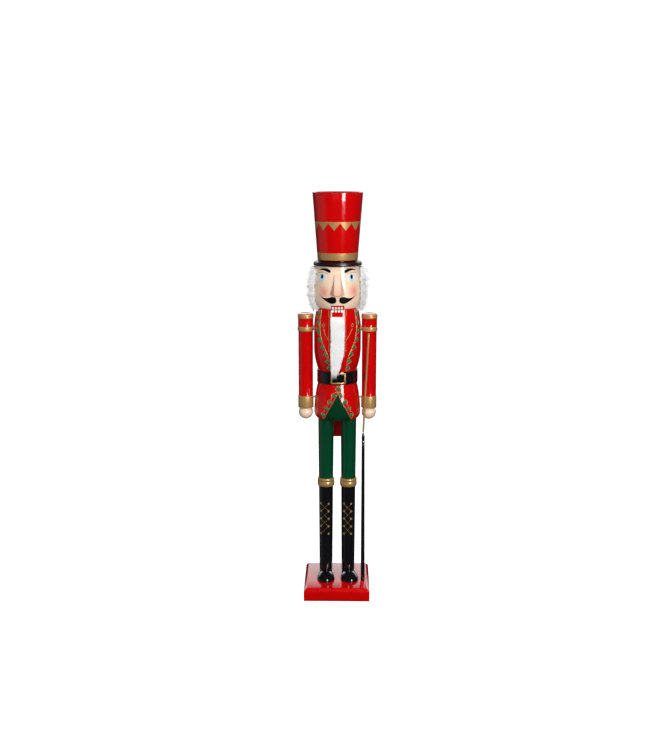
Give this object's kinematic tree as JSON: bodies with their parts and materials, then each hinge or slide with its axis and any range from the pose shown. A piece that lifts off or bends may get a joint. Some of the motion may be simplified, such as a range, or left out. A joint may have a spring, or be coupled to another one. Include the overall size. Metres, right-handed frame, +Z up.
{
  "type": "nutcracker figure",
  "caption": "Tall turned wooden soldier nutcracker on a base board, with a lever at its back that opens the jaw, fur hair and beard, a tall hat and a staff.",
  "frame": {"origin": "centre of the underside of the base board, below the body's axis", "axes": "+Z up; the figure faces -Y; +X is the figure's own left, where its staff stands"},
  "size_m": [0.1172, 0.113, 0.6],
  "materials": {
    "red_lacquer": "wood under glossy red lacquer, with gilt lines and bands",
    "black_lacquer": "wood under glossy black lacquer",
    "leg_lacquer": "wood under gloss lacquer, green above the knee band and black below it",
    "skin_lacquer": "wood under satin flesh-coloured lacquer with a painted face",
    "gold_paint": "satin gilt paint",
    "steel": "bright steel",
    "beech": "bare beech",
    "white_fur": "long soft white pile",
    "green_glass": "faceted flat-backed stone with a foiled back"
  },
  "bodies": {
    "figure": {"base": "red_lacquer", "torso": "red_lacquer", "hat_crown": "red_lacquer", "arm_left": "red_lacquer", "arm_right": "red_lacquer", "hat_brim": "black_lacquer", "belt": "black_lacquer", "shoe_left": "black_lacquer", "shoe_right": "black_lacquer", "staff_sleeve": "black_lacquer", "staff_socket": "black_lacquer", "leg_left": "leg_lacquer", "leg_right": "leg_lacquer", "head": "skin_lacquer", "nose": "skin_lacquer", "knee_band_left": "gold_paint", "knee_band_right": "gold_paint", "buckle": "gold_paint", "staff_rod": "gold_paint", "leg_screw_left": "steel", "leg_screw_right": "steel", "pivot_pin": "steel", "staff_ring": "steel", "leg_dowel_left": "beech", "leg_dowel_right": "beech", "neck_dowel_left": "beech", "neck_dowel_right": "beech", "hat_dowel": "beech", "shoulder_dowel_left": "beech", "shoulder_dowel_right": "beech", "wrist_peg_left": "beech", "wrist_peg_right": "beech", "hair": "white_fur", "gem_01": "green_glass", "gem_02": "green_glass", "gem_03": "green_glass", "gem_04": "green_glass", "gem_05": "green_glass", "gem_06": "green_glass", "gem_07": "green_glass", "gem_08": "green_glass", "gem_09": "green_glass", "gem_10": "green_glass", "gem_11": "green_glass", "gem_12": "green_glass", "gem_13": "green_glass", "gem_14": "green_glass", "gem_15": "green_glass", "gem_16": "green_glass", "gem_17": "green_glass", "gem_18": "green_glass", "gem_19": "green_glass", "gem_20": "green_glass", "gem_21": "green_glass", "gem_22": "green_glass", "gem_23": "green_glass", "gem_24": "green_glass", "gem_25": "green_glass"},
    "lever": {"jaw_lever": "red_lacquer", "beard": "white_fur"}
  },
  "joints": [
    {"name": "jaw_pivot", "type": "hinge", "parent": "figure", "child": "lever", "pos_m": [0, 0.008, 0.384], "axis": [1, 0, 0], "range_deg": [0, 20], "deforming": ["beard"]}
  ]
}
